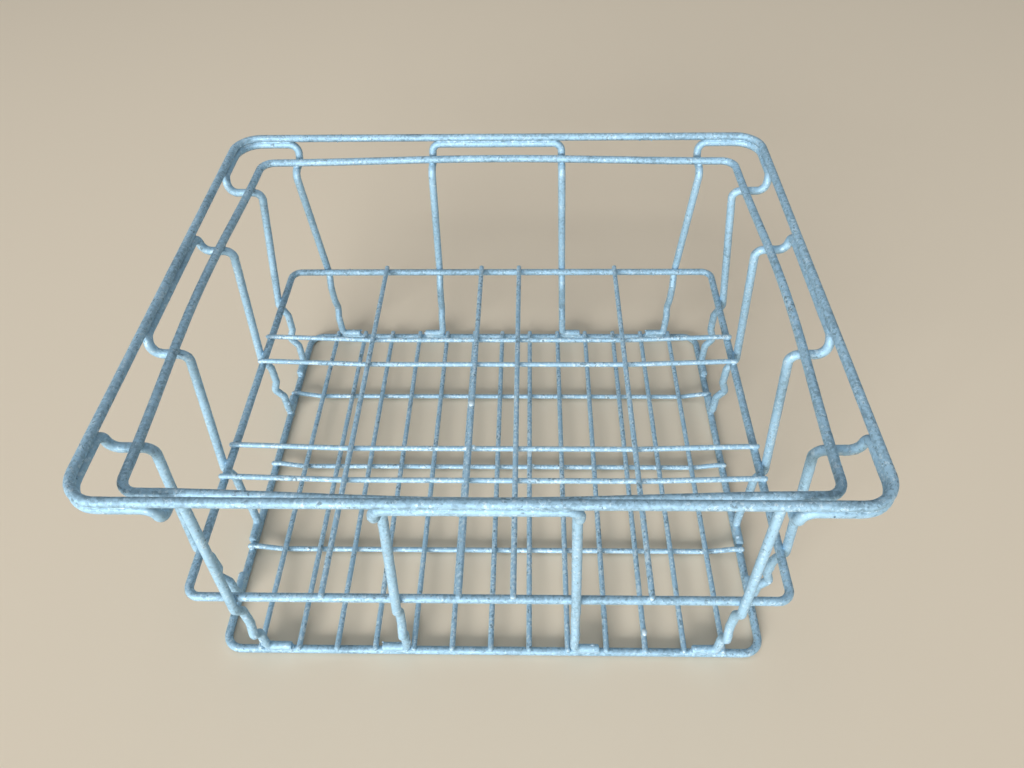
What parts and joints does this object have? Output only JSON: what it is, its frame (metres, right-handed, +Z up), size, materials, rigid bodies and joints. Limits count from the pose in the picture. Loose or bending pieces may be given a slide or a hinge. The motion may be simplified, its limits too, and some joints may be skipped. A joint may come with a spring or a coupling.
{
  "type": "bottle crate",
  "caption": "Stacking bottle crate of welded galvanised steel wire: hairpin legs carry an outer rim, a lower seat rim, a divider grid that parts the bottles, and a wire floor.",
  "frame": {"origin": "middle of the crate on the plane it stands on", "axes": "+X along the long side to the right, +Y from the front long side to the back, +Z up"},
  "size_m": [0.5, 0.422, 0.249],
  "materials": {
    "zinc_heavy": "hot-dip galvanised, dull blue-grey zinc with bright specks",
    "zinc_light": "hot-dip galvanised, dull blue-grey zinc, a little darker"
  },
  "bodies": {
    "root": {"outer_rim": "zinc_heavy", "stacking_rim": "zinc_heavy", "divider_ring": "zinc_heavy", "base_ring": "zinc_heavy", "hairpin_front": "zinc_heavy", "hairpin_right": "zinc_heavy", "hairpin_back": "zinc_heavy", "hairpin_left": "zinc_heavy", "corner_front_right": "zinc_heavy", "corner_back_right": "zinc_heavy", "corner_back_left": "zinc_heavy", "corner_front_left": "zinc_heavy", "divider_cross_1": "zinc_light", "divider_cross_2": "zinc_light", "divider_cross_3": "zinc_light", "divider_cross_4": "zinc_light", "floor_cross_1": "zinc_light", "floor_cross_2": "zinc_light", "floor_cross_3": "zinc_light", "floor_cross_4": "zinc_light", "floor_cross_5": "zinc_light", "floor_cross_6": "zinc_light", "floor_cross_7": "zinc_light", "floor_cross_8": "zinc_light", "floor_cross_9": "zinc_light", "floor_cross_10": "zinc_light", "floor_cross_11": "zinc_light", "floor_cross_12": "zinc_light", "floor_cross_13": "zinc_light", "divider_long_1": "zinc_light", "divider_long_2": "zinc_light", "divider_long_3": "zinc_light", "divider_long_4": "zinc_light", "floor_long_1": "zinc_light", "floor_long_2": "zinc_light", "floor_long_3": "zinc_light"}
  },
  "joints": []
}
